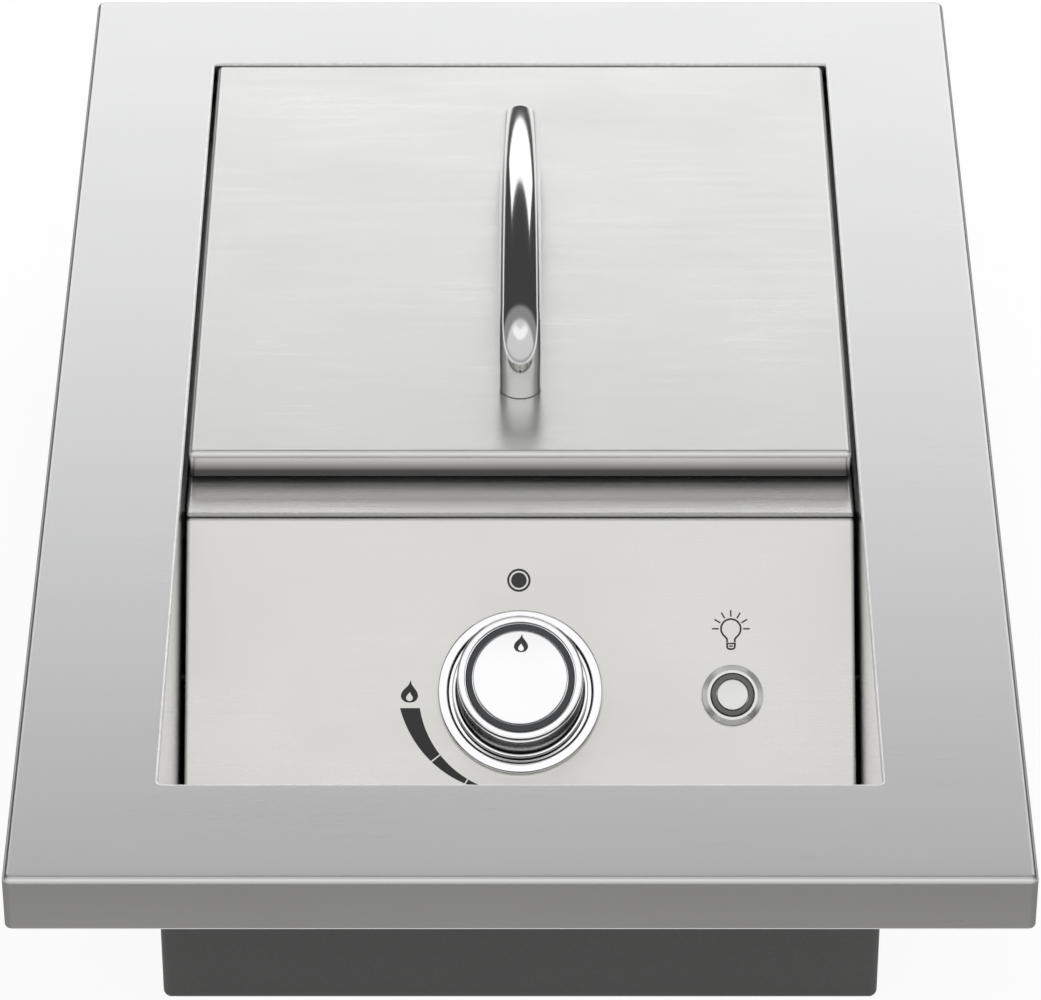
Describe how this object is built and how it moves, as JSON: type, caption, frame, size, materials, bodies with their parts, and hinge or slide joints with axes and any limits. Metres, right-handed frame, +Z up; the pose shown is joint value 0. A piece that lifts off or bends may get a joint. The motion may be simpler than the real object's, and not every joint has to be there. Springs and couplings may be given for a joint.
{
  "type": "built in side burner",
  "caption": "Drop-in gas side burner: brushed steel trim with a deep well, a burner and grate under a lift-off lid, and a sloping panel with a push-to-turn knob and a light button.",
  "frame": {"origin": "middle of the outer trim in plan, at the height of the housing's base", "axes": "+Z up, +Y to the rear, away from the user, +X to the user's right"},
  "size_m": [0.368, 0.587, 0.1453],
  "materials": {
    "trim_steel": "brushed left to right",
    "housing_paint": "matte dark grey",
    "deck_steel": "brushed left to right",
    "lid_steel": "brushed left to right",
    "liner_steel": "mill finish",
    "panel_steel": "brushed left to right",
    "handle_steel": "polished",
    "bracket_steel": "mill finish",
    "screw_steel": "satin",
    "grate_iron": "matte black",
    "burner_aluminium": "cast, matte",
    "pipe_steel": "satin",
    "fitting_brass": "satin",
    "knob_chrome": "mirror",
    "groove_dark": "gloss",
    "light_ring_clear": "gloss",
    "hub_plastic": "matte",
    "switch_chrome": "mirror",
    "button_ring_dark": "gloss",
    "electrode_ceramic": "glazed",
    "module_plastic": "matte",
    "wire_silicone": "matte",
    "bumper_silicone": "matte"
  },
  "bodies": {
    "unit": {"trim_frame": "trim_steel", "housing_box": "housing_paint", "burner_deck": "deck_steel", "control_panel": "panel_steel", "deck_rail_left": "bracket_steel", "deck_rail_right": "bracket_steel", "panel_bracket_left": "bracket_steel", "panel_bracket_right": "bracket_steel", "burner_strap": "bracket_steel", "jet_plate": "bracket_steel", "valve_flange": "bracket_steel", "electrode_clip": "bracket_steel", "housing_screw_front_left": "screw_steel", "housing_screw_front_right": "screw_steel", "housing_screw_rear_left": "screw_steel", "housing_screw_rear_right": "screw_steel", "strap_screw_left": "screw_steel", "strap_screw_right": "screw_steel", "valve_screw_left": "screw_steel", "valve_screw_right": "screw_steel", "switch_nut": "screw_steel", "electrode_pin": "screw_steel", "burner_bowl": "burner_aluminium", "burner_head": "burner_aluminium", "valve_body": "burner_aluminium", "burner_tube": "pipe_steel", "air_shutter": "pipe_steel", "feed_pipe": "pipe_steel", "gas_pipe": "pipe_steel", "gas_jet": "fitting_brass", "gas_inlet": "fitting_brass", "inlet_nut": "fitting_brass", "knob_bezel": "knob_chrome", "knob_light_ring": "light_ring_clear", "light_switch": "switch_chrome", "igniter_electrode": "electrode_ceramic", "spark_module": "module_plastic", "igniter_wire": "wire_silicone", "lamp_wire": "wire_silicone"},
    "knob_push": {"thrust_washer": "screw_steel", "return_spring": "screw_steel"},
    "knob": {"valve_stem": "fitting_brass", "knob_body": "knob_chrome", "knob_groove_ring": "groove_dark", "knob_cap": "knob_chrome", "knob_hub": "hub_plastic"},
    "light_button": {"light_button": "switch_chrome", "light_button_ring": "button_ring_dark"},
    "burner_cap": {"burner_cap": "grate_iron"},
    "pot_grate": {"pot_grate": "grate_iron"},
    "lid": {"lid_panel": "lid_steel", "lid_liner": "liner_steel", "lid_handle": "handle_steel", "handle_screw_front": "screw_steel", "handle_screw_rear": "screw_steel", "lid_bumper_front_left": "bumper_silicone", "lid_bumper_front_right": "bumper_silicone", "lid_bumper_rear_left": "bumper_silicone", "lid_bumper_rear_right": "bumper_silicone"}
  },
  "joints": [
    {"name": "knob_push", "type": "slide", "parent": "unit", "child": "knob_push", "axis": [0, 0.682, -0.7314], "range_m": [0, 0.0025], "stiffness_N_per_m": 1600, "springref_m": -0.004},
    {"name": "knob_turn", "type": "hinge", "parent": "knob_push", "child": "knob", "pos_m": [0, -0.11298, 0.04276], "axis": [0, -0.682, 0.7314], "range_deg": [0, 180]},
    {"name": "light_button_press", "type": "slide", "parent": "unit", "child": "light_button", "axis": [0, 0.682, -0.7314], "range_m": [0, 0.0015], "stiffness_N_per_m": 800, "springref_m": -0.0015},
    {"name": "burner_cap_lift", "type": "slide", "parent": "unit", "child": "burner_cap", "axis": [0, 0, 1], "range_m": [0, 0.05]},
    {"name": "pot_grate_lift", "type": "slide", "parent": "burner_cap", "child": "pot_grate", "axis": [0, 0, 1], "range_m": [0, 0.1]},
    {"name": "lid_lift", "type": "slide", "parent": "pot_grate", "child": "lid", "axis": [0, 0, 1], "range_m": [0, 0.2]}
  ]
}
